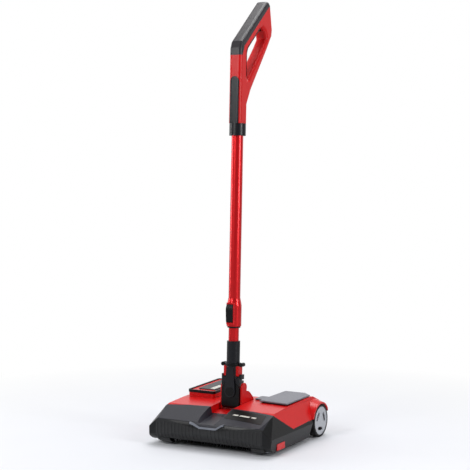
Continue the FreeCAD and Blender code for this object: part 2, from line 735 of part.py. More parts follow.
def battery_cells():
    """Two rows of five cylindrical cells, standing upright."""
    z0 = BATTERY_Z0 + 3.2
    spots = [(x, y) for x in (-118.5, -97.5) for y in range(66, 147, 20)]
    return Part.makeCompound([rod_z(x, y, 9.2, z0, z0 + 62) for x, y in spots])


def button_room():
    return box(-121, -95, 160, 178, 108, 140)


def battery_button():
    """Release key near the rear of the battery's top."""
    return rounded_box(-120.5, -95.5, 160.5, 177.5, 114, 132.5, 3)


# ---- small controls on the head ----
def release_button():
    """Red key low on the right side, which frees the roller's end bearing."""
    return box(176.6, 186.7, -98, -54, 14, 31)


# ---- handle joint ----
def round_topped(half, foot, radius):
    """Prism across the joint with a round top about the swivel axis."""
    body = box(-half, half, -BLOCK_DEPTH, BLOCK_DEPTH, foot, SWIVEL_Z + 0.1)
    crown = rod_y(0, SWIVEL_Z, radius, -BLOCK_DEPTH, BLOCK_DEPTH)
    crown = crown.common(box(-half, half, -BLOCK_DEPTH, BLOCK_DEPTH, SWIVEL_Z - 10, 200))
    return join([body, crown])


def yoke_block():
    """Block of the cross joint: it tilts between the ears and carries the swivel."""
    tilt_y, tilt_z = TILT_UPRIGHT.y, TILT_UPRIGHT.z
    block = round_topped(BLOCK_HALF, BLOCK_FOOT_Z, BLOCK_TOP_R)
    chin = prism_x([(-16, BLOCK_FOOT_Z - 1), (-16, 101), (-6, BLOCK_FOOT_Z - 1)], -40, 40)
    hub = rod_x(tilt_y, tilt_z, 8, -EAR_X0 + 0.3, EAR_X0 - 0.3)
    hub = hub.common(rod_y(0, SWIVEL_Z, BLOCK_TOP_R, -30, 30))
    block = join([block.cut(chin), hub])
    corner = BLOCK_FOOT_Z + 8
    relief = [pair(box(BLOCK_HALF - 4, 40, -20, 20, 80, corner).cut(
        rod_y(BLOCK_HALF - 4, corner, 4, -20, 20)))]
    bores = [rod_x(tilt_y, tilt_z, PIN_R + RUN_GAP, 19.9, 60),
             rod_x(tilt_y, tilt_z, PIN_R + RUN_GAP, -60, -19.9),
             rod_y(0, SWIVEL_Z, PIN_R, -30, 30)]
    return largest(cut_all(block, relief + bores))


def tilt_pins():
    """Stub pins pressed into the ears, flush with their outer faces."""
    return pair(rod_x(TILT.y, TILT.z, PIN_R, 20, EAR_X1))


def swivel_pin():
    """Pin across the block that the fork turns on, with a wide flat cap in front."""
    pin = rod_y(0, SWIVEL_Z, PIN_R, -18.4, 18.4)
    return join([pin, rod_y(0, SWIVEL_Z, 12, -19.4, -18.3)])


def tongue(front):
    """Tapering arm of the fork from the sleeve down to its round eye."""
    y0 = -18.2 if front else BLOCK_DEPTH + 0.3
    y1 = y0 + TONGUE_T - 0.3
    eye = rod_y(0, SWIVEL_Z, TONGUE_R, y0, y1)
    arm = prism_y([(-TONGUE_R, SWIVEL_Z), (TONGUE_R, SWIVEL_Z), (10.5, 206), (-10.5, 206)], y0, y1)
    web_y = (y0, -6) if front else (6, y1)
    web = prism_y([(-12.6, 176), (12.6, 176), (10.5, 206), (-10.5, 206)], web_y[0], web_y[1])
    return join([eye, arm, web])


def swivel_fork():
    """Fork that swings sideways on the block and holds the lower tube in its sleeve."""
    shroud = box(-BLOCK_HALF, BLOCK_HALF, -BLOCK_DEPTH, BLOCK_DEPTH, 155, 172.5)
    lugs = rounded_box(-31, 31, -9, 9, 173.5, 179, 5)
    deck = box(-BLOCK_HALF, BLOCK_HALF, -BLOCK_DEPTH, BLOCK_DEPTH, 172, 176)
    sleeve = rod_z(0, 0, SLEEVE_R, 173, SLEEVE_Z1)
    tips = pair(rounded_box(24, 31, -9, 9, 174, 186, 2.5))
    core = join([shroud, lugs, deck, sleeve, tips])
    core = core.cut(rod_y(0, SWIVEL_Z, BLOCK_TOP_R + 0.4, -30, 30))
    core = core.cut(pair(box(BLOCK_HALF - 6.5, 40, -10.8, 30, 150, 172)))
    fork = join([core, tongue(True), tongue(False)])
    bores = [rod_z(0, 0, INNER_R, 192, 290), rod_y(0, SWIVEL_Z, PIN_R + RUN_GAP, -30, 30)]
    return largest(cut_all(fork, bores))


def lock_collar():
    """Black collar with two round horns that the user lifts to free the joint."""
    ring = rod_z(0, 0, 21.5, 209, 216)
    arm = box(-30, 30, -6, 6, 209, 216)
    horns = [Part.makeCylinder(5.5, 16, V(side * 28, -8, 212.5), Y_AXIS) for side in (1, -1)]
    return join([ring, arm] + horns).cut(rod_z(0, 0, SLEEVE_R + 0.4, 200, 225))


def lock_slider():
    """Red wings under the collar, one on each side of the fork."""
    wing = box(14.5, 22.8, -11, 11, 181.5, 209)
    wing = wing.cut(rod_z(0, 0, SLEEVE_R + 0.4, 170, 220))
    return pair(largest(wing))


def inner_tube():
    """Lower tube, fixed in the fork's sleeve, with a guide groove down its front."""
    tube = pipe_z(0, 0, INNER_R, INNER_R - 1.6, 192, 690)
    return tube.cut(box(-2.2, 2.2, -INNER_R - 1, -INNER_R + 0.9, SLEEVE_Z1 + 1, 700))


# ---- upper tube and handle ----
def outer_tube():
    return pipe_z(0, 0, OUTER_R, OUTER_R - 1.2, 320, 900)


def tube_clamp():
    """Clamping sleeve at the foot of the upper tube, with a raised frame for its key."""
    body = rod_z(0, 0, CLAMP_R, CLAMP_Z0 + 4, 373)
    neck = Part.makeCone(CLAMP_R, OUTER_R + 0.6, 19, V(0, 0, 373), Z_AXIS)
    frame = rounded_box(-12, 12, -25, -10, 322, 381, 4)
    clamp = join([body, neck, frame])
    clamp = clamp.cut(rod_z(0, 0, OUTER_R, 320, 400)).cut(rod_z(0, 0, INNER_R + 1.2, 300, 330))
    return largest(clamp.cut(box(-9.8, 9.8, -30, -17.6, 327, 377)))


def clamp_bush():
    """Dark liner in the mouth of the clamp, with a rolled lower edge."""
    lip = pipe_z(0, 0, CLAMP_R - 2.2, INNER_R + RUN_GAP, CLAMP_Z0, CLAMP_Z0 + 4)
    liner = pipe_z(0, 0, INNER_R + 1.2, INNER_R + RUN_GAP, CLAMP_Z0 + 3, 319.5)
    return join([lip, liner])


def telescope_button():
    """Thumb key of the clamp, sloping back at its top."""
    side = [(-21.2, 328), (-28, 329), (-30.5, 362), (-30, 367), (-25.5, 376), (-21.2, 376)]
    return prism_x(side, -9.5, 9.5)


def handle_outline():
    """(y, z) outline of the whole handle in the plane of the loop."""
    return [(-22, HANDLE_Z0 - 10), (-22, 1068), (-14.5, 1087), (126, 1211), (138, 1211.5), (146.5, 1203),
            (161, 1136), (158, 1117), (131, 1078), (41, 958), (20, 918), (20, HANDLE_Z0 - 10)]


def loop_outline():
    """(y, z) outline of the hand opening."""
    return [(16.5, 977), (16.5, 1063.6), (99, 1136.4), (117, 1128), (126, 1108), (108, 1084)]


def grip_line(offset):
    """Line parallel to the grip's axis at a distance below its upper face."""
    return [(-14.5 + 0.66 * offset, 1087 - 0.75 * offset), (126 + 0.66 * offset, 1211 - 0.75 * offset)]


def handle_form():
    """Handle as one block, with both sides of its bars rounded over."""
    whole = prism_x(handle_outline(), -HANDLE_HALF, HANDLE_HALF, 5)
    whole = whole.cut(prism_x(loop_outline(), -30, 30, 5))
    rims = []
    for edge in whole.Edges:
        bounds = edge.BoundBox
        on_side = bounds.XLength < 0.001 and abs(abs(bounds.XMax) - HANDLE_HALF) < 0.001
        if on_side and bounds.ZMin > HANDLE_Z0 + 0.01:
            rims.append(edge)
    return whole.makeFillet(HANDLE_ROUND, rims).cut(box(-30, 30, -30, 30, 850, HANDLE_Z0))


HANDLE = handle_form()


def grip_rubber():
    """Soft upper half of the grip, with a cap round the elbow and the tip."""
    low_a, low_b = grip_line(17)
    band = [(-30, 1049), (-14, 1049), (-6, 1066), low_a, low_b, (141, 1191), (160, 1212),
            (120, 1240), (-40, 1110)]
    core_a, core_b = grip_line(4.5)
    core = [(-17.5, 1040), (-17.5, 1068), core_a, core_b, (136, 1203), (150, 1150), (0, 1020)]
    skin = HANDLE.common(prism_x(band, -30, 30))
    return largest(skin.cut(prism_x(core, -14, 14)))


def strip_zone(grow):
    """Inlay strip that runs up the front of the handle from the collar."""
    half = 13.5 + grow
    flat = box(-half, half, -26, -19.2, 860, 978.5)
    crown = rod_y(0, 978.5, half, -26, -19.2)
    return flat.fuse(crown)


def handle_collar():
    """Black collar over the tube's end with its inlay strip."""
    ring = rod_z(0, 0, COLLAR_R, 833, 866).cut(rod_z(0, 0, OUTER_R, 820, 880))
    strip = strip_zone(0).common(rounded_box(-20, 20, -22.6, 22, 850, 1100, 12)).common(
        box(-30, 30, -30, 0, 866, 1100))
    foot = strip_zone(0).common(rod_z(0, 0, COLLAR_R, 855, 866.5)).common(box(-30, 30, -30, 0, 855, 866.5))
    return join([ring, strip, foot])


def handle_shells():
    """Left and right red shells of the handle, hollow round the tube, the grip and the switch."""
    rubber = grip_rubber()
    form = HANDLE.cut(rubber).cut(strip_zone(0.15))
    form = form.cut(rod_z(0, 0, OUTER_R + 0.02, 850, 901))
    cavity = prism_x([(-12, 902), (-12, 1062), (20, 1088), (60, 1118), (60.7, 1110), (2, 1054),
                      (2, 902)], -12, 12)
    form = form.cut(cavity).cut(switch_room())
    right = largest(form.common(box(0, 40, -60, 200, 800, 1260)))
    left = largest(form.common(box(-40, 0, -60, 200, 800, 1260)))
    return left, right


def along_grip(shape, y, z):
    """Turn a part built along Y into the grip's direction and put it at (y, z)."""
    turned = shape.copy()
    turned.rotate(V(0, 0, 0), X_AXIS, 41.4)
    turned.translate(V(0, y, z))
    return turned


SWITCH_Y = 98.7
SWITCH_Z = 1152.5


def switch_room():
    """Pocket for the power switch in the grip's underside."""
    return along_grip(box(-7.4, 7.4, -18.4, 18.4, -30, 14), SWITCH_Y, SWITCH_Z)


def power_switch():
    """Push key under the grip's upper end."""
    key = prism_x([(-18, -16), (-12, -21), (12, -21), (18, -16), (18, -7), (-18, -7)], -7, 7)
    return along_grip(key, SWITCH_Y, SWITCH_Z)


def micro_switch():
    """Electrical switch body above the key."""
    return along_grip(box(-6, 6, -14, 14, -2, 13.5), SWITCH_Y, SWITCH_Z)


def screw(x, y, z, head_r, shank_r, length, side):
    """Pan-head screw along X, entering from the given side."""
    head = Part.makeCylinder(head_r, 1.6, V(x, y, z), X_AXIS * side)
    shank = Part.makeCylinder(shank_r, length, V(x, y, z), X_AXIS * -side)
    return join([head, shank])


HANDLE_SCREWS = [(13, 905), (9, 1010), (70, 1018), (143, 1112), (118, 1176)]


def handle_screws():
    """Screws that clamp the two shells, let into the left-hand shell."""
    made = []
    for y, z in HANDLE_SCREWS:
        made.append(screw(11.5, y, z, 3.4, 1.5, 16, 1))
    return mirrored(Part.makeCompound(made))


def screw_rooms():
    """Counterbored holes for the handle screws."""
    rooms = []
    for y, z in HANDLE_SCREWS:
        rooms.append(Part.makeCylinder(3.6, 14, V(11.5, y, z), X_AXIS))
        rooms.append(Part.makeCylinder(1.5, 20, V(-4.5, y, z), X_AXIS))
    return [mirrored(room) for room in rooms]


def housing_screws():
    """Screws from below that tie the lower and upper housings together."""
    spots = [(-165, -40), (165, -40), (-165, 60), (165, 60), (-40, 200), (40, 200)]
    made = []
    for x, y in spots:
        head = rod_z(x, y, 4, FLOOR_Z - 0.2, FLOOR_Z + 1.8)
        made.append(head.fuse(rod_z(x, y, 1.8, FLOOR_Z + 1.8, FLOOR_Z + 14)))
    return Part.makeCompound(made)


def housing_screw_rooms():
    rooms = []
    for solid in housing_screws().Solids:
        centre = solid.BoundBox.Center
        rooms.append(rod_z(centre.x, centre.y, 4, 0, FLOOR_Z + 1.8))
        rooms.append(rod_z(centre.x, centre.y, 1.8, 0, FLOOR_Z + 14))
    return rooms


def housing_screw_posts():
    """Solid posts that take the housing screws, standing on the floor inside."""
    posts = []
    for solid in housing_screws().Solids:
        centre = solid.BoundBox.Center
        posts.append(rod_z(centre.x, centre.y, 4.5, FLOOR_Z + 1, FLOOR_Z + 26))
    return posts


def dust_lip():
    """Rubber blade behind the brush that closes the gap to the floor."""
    return box(-118, 118, -56.5, -54.1, 2.2, 22)


# ---- export ----
def parts():
    """Every part by name, in the working frame."""
    left, right = handle_shells()
    rooms = screw_rooms()
    wheel = wheel_hub()
    tyre = wheel_tyre()
    support = roller()
    fixed = {
        "lower_housing": cut_all(join([lower_housing()] + housing_screw_posts()),
                                 housing_screw_rooms()),
        "upper_housing": upper_housing(),
        "front_cover": front_cover(),
        "front_bumper": front_bumper(),
        "front_lip": front_lip(),
        "badge_plate": badge_plate(),
        "bay_rim": bay_rim(),
        "bay_bezel": bay_bezel(),
        "battery_dock": battery_dock(),
        "motor_case": motor_case(),
        "motor_bracket": motor_bracket(),
        "drive_belt": drive_belt(),
        "control_board": control_board(),
        "brush_bearings": brush_bearings(),
        "wheel_axles": wheel_axles(),
        "roller_axles": roller_axles(),
        "housing_screws": housing_screws(),
        "tilt_pins": tilt_pins(),
        "dust_lip": dust_lip(),
        "brush_core": brush_core(),
        "brush_bristles": brush_bristles(),
        "brush_shaft": brush_shaft(),
        "brush_pulley": toothed_pulley(BRUSH_Y, BRUSH_Z, BRUSH_PULLEY_R, 4, PULLEY_X0, PULLEY_X1),
        "motor_shaft": motor_shaft(),
        "motor_pulley": toothed_pulley(MOTOR_Y, MOTOR_Z, MOTOR_PULLEY_R, 1.6, PULLEY_X0, PULLEY_X1),
        "right_wheel_hub": wheel,
        "right_wheel_tyre": tyre,
        "left_wheel_hub": mirrored(wheel),
        "left_wheel_tyre": mirrored(tyre),
        "right_roller": support,
        "left_roller": mirrored(support),
        "dirt_box": dirt_box(),
        "lid_pin": lid_pin(),
        "dirt_lid": dirt_lid(),
        "lid_latch": lid_latch(),
        "battery_case": battery_case(),
        "battery_top": battery_top(),
        "battery_label": battery_label(),
        "battery_cells": battery_cells(),
        "battery_button": battery_button(),
        "release_button": release_button(),
    }
    shaft = {
        "yoke_block": yoke_block(),
        "swivel_pin": swivel_pin(),
        "swivel_fork": swivel_fork(),
        "inner_tube": inner_tube(),
        "lock_collar": lock_collar(),
        "lock_slider": lock_slider(),
        "outer_tube": outer_tube(),
        "tube_clamp": tube_clamp(),
        "clamp_bush": clamp_bush(),
        "telescope_button": telescope_button(),
        "handle_collar": handle_collar(),
        "handle_shell_left": cut_all(left, rooms),
        "handle_shell_right": cut_all(right, rooms),
        "grip_rubber": grip_rubber(),
        "power_switch": power_switch(),
        "micro_switch": micro_switch(),
        "handle_screws": handle_screws(),
    }
    for name, shape in shaft.items():
        fixed[name] = leaned(shape)
    return fixed


def export():
    os.makedirs("parts", exist_ok=True)
    for name, shape in parts().items():
        placed(shape).exportStep(os.path.join("parts", name + ".step"))


export()
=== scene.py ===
import math
import random

import bmesh
import bpy
from mathutils import Matrix, Vector


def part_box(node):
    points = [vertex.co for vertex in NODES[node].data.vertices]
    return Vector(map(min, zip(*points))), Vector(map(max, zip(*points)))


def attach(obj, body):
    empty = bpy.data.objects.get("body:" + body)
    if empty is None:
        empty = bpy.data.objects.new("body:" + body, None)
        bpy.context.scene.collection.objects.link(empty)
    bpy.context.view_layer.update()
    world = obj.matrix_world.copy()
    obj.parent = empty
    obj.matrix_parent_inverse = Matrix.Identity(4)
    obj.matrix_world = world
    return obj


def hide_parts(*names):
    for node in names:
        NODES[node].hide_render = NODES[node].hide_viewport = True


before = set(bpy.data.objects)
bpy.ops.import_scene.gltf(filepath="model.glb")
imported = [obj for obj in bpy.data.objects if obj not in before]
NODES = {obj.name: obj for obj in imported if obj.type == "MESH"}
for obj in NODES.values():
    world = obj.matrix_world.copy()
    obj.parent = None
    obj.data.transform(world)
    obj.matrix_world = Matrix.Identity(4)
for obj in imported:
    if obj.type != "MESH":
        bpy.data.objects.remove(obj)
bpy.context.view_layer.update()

MM = 0.001
SEED = 7


# ---------------------------------------------------------------- materials

# Noise scales that every finish shares: lighter edges (rubbed wear and painted highlight), and
# # unevenness of the roughness.
RUB_AND_HIGHLIGHT_SCALE = 140
ROUGH_SCALE = 220


def linear(red, green, blue):
    """An 8-bit display colour as the linear colour that a shader takes."""
    out = []
    for value in (red, green, blue):
        share = value / 255
        out.append(share / 12.92 if share <= 0.04045 else ((share + 0.055) / 1.055) ** 2.4)
    return (*out, 1.0)


def shade(colour, factor):
    return (*[min(1.0, channel * factor) for channel in colour[:3]], 1.0)


class Shader:
    """A node material, with short calls for the nodes that the finishes and the floor use."""

    def __init__(self, name):
        self.material = bpy.data.materials.new(name)
        self.material.use_nodes = True
        self.tree = self.material.node_tree
        self.surface = self.tree.nodes["Principled BSDF"]
        coordinates = self.tree.nodes.new("ShaderNodeTexCoord")
        self.place = coordinates.outputs["Object"]

    def node(self, kind, inputs=None, **settings):
        made = self.tree.nodes.new(kind)
        for key, value in settings.items():
            setattr(made, key, value)
        for key, value in (inputs or {}).items():
            self.feed(made.inputs[key], value)
        return made

    def feed(self, socket, value):
        if isinstance(value, bpy.types.NodeSocket):
            self.tree.links.new(value, socket)
        else:
            socket.default_value = value

    def set(self, **values):
        for key, value in values.items():
            self.feed(self.surface.inputs[key.replace("_", " ")], value)

    def stretched(self, x, y, z):
        mapping = self.node("ShaderNodeMapping", {"Vector": self.place})
        mapping.inputs["Scale"].default_value = (x, y, z)
        return mapping.outputs[0]

    def noise(self, scale, detail=2.0, where=None):
        made = self.node("ShaderNodeTexNoise", {
            "Vector": where or self.place, "Scale": scale, "Detail": detail, "Roughness": 0.5})
        return made.outputs["Fac"]

    def math(self, operation, first, second):
        made = self.node("ShaderNodeMath", {0: first, 1: second}, operation=operation)
        return made.outputs[0]

    def remap(self, value, low, high, to_low, to_high):
        made = self.node("ShaderNodeMapRange", {
            "Value": value, "From Min": low, "From Max": high, "To Min": to_low, "To Max": to_high})
        return made.outputs[0]

    def mix(self, share, first, second):
        made = self.node("ShaderNodeMix", {"Factor": share}, data_type="RGBA")
        self.feed(made.inputs["A"], first)
        self.feed(made.inputs["B"], second)
        return made.outputs["Result"]

    def bump(self, height, depth, normal):
        made = self.node("ShaderNodeBump", {
            "Height": height, "Distance": depth, "Strength": 1.0, "Normal": normal})
        return made.outputs[0]


def finish(name, colour, rough, *, tint=0.07, patch=35, grain=1500, depth=0.00004, rough_spread=0.1,
           edge=0.0009, wear_and_highlight=1.25, wear_and_highlight_share=0.5, metallic=0.0, coat=0.0, coat_rough=0.08,
           specular=0.5, streak=None):
    """Moulded or metal surface: patchy colour, uneven roughness, grain, and wear with painted
    highlight on edges.
    """
    s = Shader(name)
    patches = s.noise(patch, 3.0)
    base = s.mix(patches, shade(colour, 1 - tint), shade(colour, 1 + tint))
    rounded = s.node("ShaderNodeBevel", {"Radius": edge}, samples=4).outputs[0]
    facing = s.node("ShaderNodeNewGeometry").outputs["Normal"]
    dot = s.node("ShaderNodeVectorMath", {0: rounded, 1: facing}, operation="DOT_PRODUCT")
    bend = s.math("SUBTRACT", 1.0, dot.outputs["Value"])
    near_edge = s.remap(bend, 0.02, 0.3, 0.0, wear_and_highlight_share)
    # Lighter edges near the rounded rims: partly rubbed wear, partly a painted highlight where
    # light catches them.
    rubbed_and_highlit = s.math("MULTIPLY", near_edge, s.noise(RUB_AND_HIGHLIGHT_SCALE, 4.0))
    grain_place = s.stretched(*streak) if streak else None
    grains = s.noise(grain, where=grain_place)
    s.set(Base_Color=s.mix(rubbed_and_highlit, base, shade(colour, wear_and_highlight)),
          Roughness=s.remap(s.noise(ROUGH_SCALE, 3.0), 0.25, 0.75, rough - rough_spread / 2,
                            rough + rough_spread / 2),
          Normal=s.bump(grains, depth, rounded),
          Metallic=metallic, Coat_Weight=coat, Coat_Roughness=coat_rough,
          Specular_IOR_Level=specular)
    return s.material


# Every finish lightens its edges: part wear, part painted highlight; most on rib_black and
# fork_black.
FINISHES = {
    "gloss_red": finish("gloss_red", linear(206, 10, 12), 0.34, depth=0.00001, coat=0.12,
                        coat_rough=0.12, tint=0.04, specular=0.3),
    "shell_red": finish("shell_red", linear(216, 14, 18), 0.36, depth=0.00001, tint=0.04,
                        coat=0.12, coat_rough=0.2, specular=0.3),
    "black_plastic": finish("black_plastic", linear(8, 9, 11), 0.36, depth=0.00002, wear_and_highlight=2.6,
                            specular=0.28),
    "rib_black": finish("rib_black", linear(9, 10, 12), 0.34, depth=0.00001, edge=0.0014,
                        wear_and_highlight=3.4, wear_and_highlight_share=1.0),
    "fork_black": finish("fork_black", linear(20, 21, 27), 0.32, depth=0.00002, wear_and_highlight=2.6,
                         specular=0.4),
    "cover_grey": finish("cover_grey", linear(38, 38, 47), 0.38, depth=0.00005, wear_and_highlight=1.8,
                         specular=0.4),
    "badge_black": finish("badge_black", linear(4, 4, 5), 0.3, depth=0.000004, coat=0.1,
                          coat_rough=0.2, rough_spread=0.04, wear_and_highlight=1.6, specular=0.3),
    "grey_plastic": finish("grey_plastic", linear(44, 44, 48), 0.46, depth=0.00005, wear_and_highlight=1.5),
    "light_grey": finish("light_grey", linear(172, 175, 181), 0.34, depth=0.00002),
    "lip_grey": finish("lip_grey", linear(122, 126, 136), 0.34, depth=0.00002),
    "panel_grey": finish("panel_grey", linear(108, 109, 119), 0.4, depth=0.00003),
    "red_tube": finish("red_tube", linear(232, 14, 24), 0.3, metallic=0.6, tint=0.03, coat=0.5,
                       coat_rough=0.16, grain=300, depth=0.0000004, rough_spread=0.04,
                       streak=(1, 1, 0.03), wear_and_highlight=1.1),
    "grip": finish("grip", linear(44, 41, 46), 0.4, depth=0.00003, grain=1100, wear_and_highlight=1.3),
    "tyre_rubber": finish("tyre_rubber", linear(14, 14, 16), 0.6, depth=0.00005, specular=0.35),
    "bristle": finish("bristle", linear(12, 12, 14), 0.55, depth=0.00002, edge=0.0002),
    "steel": finish("steel", linear(176, 178, 182), 0.3, metallic=1.0, depth=0.00001),
    "bronze": finish("bronze", linear(170, 128, 72), 0.4, metallic=1.0, depth=0.00001),
    "belt": finish("belt", linear(18, 18, 20), 0.75),
    "board": finish("board", linear(22, 96, 52), 0.4, depth=0.00002),
    "pale_label": finish("pale_label", linear(206, 204, 196), 0.5, depth=0.00001),
    "cell": finish("cell", linear(52, 104, 168), 0.35, depth=0.00001),
}

# Nodes whose finish is finer than the CAD material's name says.
NODE_FINISHES = {
    "front_cover": "cover_grey",
    "badge_plate": "badge_black",
    "front_lip": "lip_grey",
    "front_bumper": "rib_black",
    "swivel_fork": "fork_black",
    "handle_collar": "fork_black",
    "handle_shell_left": "shell_red",
    "handle_shell_right": "shell_red",
}

for name, node in NODES.items():
    own = node.data.materials[0].name
    node.data.materials[0] = FINISHES[NODE_FINISHES.get(name, own)]


# ---------------------------------------------------------------- the leaned shaft

# The shaft's axis stands this far behind the middle of the frame, and leans about the joint.
SHAFT_Y = -37
LEAN = math.radians(2.25)
JOINT = Vector((0, SHAFT_Y * MM, 145 * MM))
SHAFT_TURN = (Matrix.Translation(JOINT) @ Matrix.Rotation(-LEAN, 4, "X")
              @ Matrix.Translation(-JOINT))


def on_shaft(x, y, z):
    """A point of the upright handle, in millimetres from the shaft's axis, as it stands leaned."""
    return SHAFT_TURN @ Vector((x * MM, (y + SHAFT_Y) * MM, z * MM))


# ---------------------------------------------------------------- mesh helpers

def piece_from(bm, name, material, body, smooth=False):
    """Turn a bmesh into a piece that rides on a body."""
    mesh = bpy.data.meshes.new(name)
    bmesh.ops.recalc_face_normals(bm, faces=bm.faces[:])
    bm.to_mesh(mesh)
    bm.free()
    for face in mesh.polygons:
        face.use_smooth = smooth
    piece = bpy.data.objects.new(name, mesh)
    bpy.context.scene.collection.objects.link(piece)
    mesh.materials.append(FINISHES[material])
    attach(piece, body)
    return piece


def band(bm, rings):
    """Skin a run of equal rings of points, and cap both ends."""
    rows = [[bm.verts.new(point) for point in ring] for ring in rings]
    count = len(rows[0])
    for lower, upper in zip(rows, rows[1:]):
        for i in range(count):
            j = (i + 1) % count
            bm.faces.new((lower[i], lower[j], upper[j], upper[i]))
    bm.faces.new(rows[0])
    bm.faces.new(rows[-1])


# ---------------------------------------------------------------- brush

BRISTLE_ROWS = 6
TUFTS_PER_ROW = 56
STRANDS = 7
BRISTLE_ROOT = 15.5 * MM
ROOT_THICK = 0.45 * MM
TIP_THICK = 0.25 * MM
ROW_END_GAP = 4 * MM
STRAND_CORNERS = ((1, 0), (-0.5, 0.87), (-0.5, -0.87))


def bristle_rows():
    """Tufts of single bristles in rows round the core."""
    random.seed(SEED)
    bm = bmesh.new()
    low, high = (Vector(corner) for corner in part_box("brush_bristles"))
    centre = (low + high) / 2
    outer = (high.z - low.z) / 2
    reach = high.x - low.x - 2 * ROW_END_GAP
    for row in range(BRISTLE_ROWS):
        for step in range(TUFTS_PER_ROW):
            x = low.x + ROW_END_GAP + reach * step / (TUFTS_PER_ROW - 1)
            around = math.radians(30 + row * 60) + random.uniform(-0.03, 0.03)
            for strand in range(STRANDS):
                swing = around + random.uniform(-0.1, 0.1)
                tip_swing = swing + random.uniform(-0.07, 0.07)
                shift = random.uniform(-1.6, 1.6) * MM
                tip_shift = shift + random.uniform(-1.8, 1.8) * MM
                length = outer - random.uniform(0.0, 1.2) * MM
                rings = []
                for radius, angle, along, thick in (
                        (BRISTLE_ROOT, swing, shift, ROOT_THICK),
                        (length, tip_swing, tip_shift, TIP_THICK)):
                    out = Vector((0, -math.sin(angle), math.cos(angle)))
                    side = Vector((0, math.cos(angle), math.sin(angle)))
                    spot = Vector((x + along, centre.y, centre.z)) + out * radius
                    rings.append([spot + Vector((dx * thick, 0, 0)) + side * (dy * thick)
                                  for dx, dy in STRAND_CORNERS])
                band(bm, rings)
    piece = piece_from(bm, "bristle_tufts", "bristle", "brush")
    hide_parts("brush_bristles")


# ---------------------------------------------------------------- handle trim

# The handle's bars have a flat front of this half width, and this radius on both edges (mm).
BAR_FLAT = 9.5
BAR_ROUND = 9.0

# The grip's slope, the direction square to it and its front corner, in the shaft's upright plane.
GRIP_RUN = Vector((0, 0.75, 0.662))
GRIP_DOWN = Vector((0, 0.662, -0.75))
GRIP_TIP = Vector((0, -14.5, 1087))

# The hand opening's front upper corner, where the grip meets the front bar.
LOOP_CORNER_Y = 16.5
LOOP_CORNER_Z = 1063.6

# How far the lining stands out of the bars' surface, and how far it reaches into them.
LINER_OUT = 0.7
LINER_IN = 1.5


def arc_points(side, turns, radius):
    """Points of the bar's rounded edge on one side, as offsets across it and above its face."""
    return [(side * (BAR_FLAT + radius * math.sin(math.radians(turn))),
             radius * math.cos(math.radians(turn)) - BAR_ROUND) for turn in turns]


def loop_liner():
    """Dark lining inside the hand opening, under the grip and down the front bar."""
    corner = Vector((0, LOOP_CORNER_Y, LOOP_CORNER_Z))
    rearward = Vector((0, 1, 0))
    path = [
        (GRIP_TIP + GRIP_DOWN * 38 + GRIP_RUN * 106, GRIP_DOWN),
        (corner + GRIP_RUN * 7, GRIP_DOWN),
        (corner + Vector((0, 2.2, -2)), (GRIP_DOWN + rearward).normalized()),
        (corner - Vector((0, 0, 9)), rearward),
        (Vector((0, LOOP_CORNER_Y, 994)), rearward),
    ]
    profile = (arc_points(-1, (85, 60, 35, 12), BAR_ROUND + LINER_OUT)
               + arc_points(1, (12, 35, 60, 85), BAR_ROUND + LINER_OUT)
               + arc_points(1, (80, 40, 0), BAR_ROUND - LINER_IN)
               + arc_points(-1, (0, 40, 80), BAR_ROUND - LINER_IN))
    rings = []
    for spot, out in path:
        ring = []
        for x, lift in profile:
            point = spot + out * lift
            ring.append(on_shaft(x, point.y, point.z))
        rings.append(ring)
    bm = bmesh.new()
    band(bm, rings)
    piece_from(bm, "loop_liner", "black_plastic", "handle", smooth=True)


# The inlay strip's bead, in millimetres on the upright shaft.
BEAD_HALF = 14.2
BEAD_CROWN_Z = 978.5
BEAD_MID_Z = 925.0
BEAD_FOOT_Z = 870.0
BEAD_FACE_Y = -22.0
BEAD_WIDE = 0.9
BEAD_HIGH = 0.6
BEAD_SIDES = 8
CROWN_STEPS = 12


def strip_bead():
    """Fine raised bead round the inlay strip on the front of the handle."""
    path = [(-BEAD_HALF, BEAD_FOOT_Z), (-BEAD_HALF, BEAD_MID_Z), (-BEAD_HALF, BEAD_CROWN_Z)]
    for i in range(1, CROWN_STEPS):
        turn = math.pi * i / CROWN_STEPS
        path.append((-BEAD_HALF * math.cos(turn), BEAD_CROWN_Z + BEAD_HALF * math.sin(turn)))
    path += [(BEAD_HALF, BEAD_CROWN_Z), (BEAD_HALF, BEAD_MID_Z), (BEAD_HALF, BEAD_FOOT_Z)]
    rings = []
    for i, (x, z) in enumerate(path):
        before = Vector(path[max(i - 1, 0)])
        after = Vector(path[min(i + 1, len(path) - 1)])
        run = (after - before).normalized()
        across = Vector((run.y, -run.x))
        past_flat = max(abs(x) - BAR_FLAT, 0.0)
        bow = BAR_ROUND - math.sqrt(max(BAR_ROUND ** 2 - past_flat ** 2, 0.0))
        ring = []
        for step in range(BEAD_SIDES):
            angle = step * 2 * math.pi / BEAD_SIDES
            wide = math.cos(angle) * BEAD_WIDE
            ring.append(on_shaft(x + across.x * wide,
                                 BEAD_FACE_Y + bow - math.sin(angle) * BEAD_HIGH,
                                 z + across.y * wide))
        rings.append(ring)
    bm = bmesh.new()
    band(bm, rings)
    piece_from(bm, "strip_bead", "shell_red", "handle", smooth=True)


# ---------------------------------------------------------------- marks on the head

# The badge's plane rises this much for each step to the rear, from this edge (mm).
BADGE_SLOPE = 27.5 / 71
BADGE_EDGE_Y = -174
BADGE_EDGE_Z = 75.5
MARK_LIFT = 0.4
MARK_CENTRE = (92, -129.5)
MARK_WIDTH = 5.5
MARK_SLANT = 2.5
MARK_THICK = 0.15
MARKS = ((16, -34), (30, -6), (14, 22))


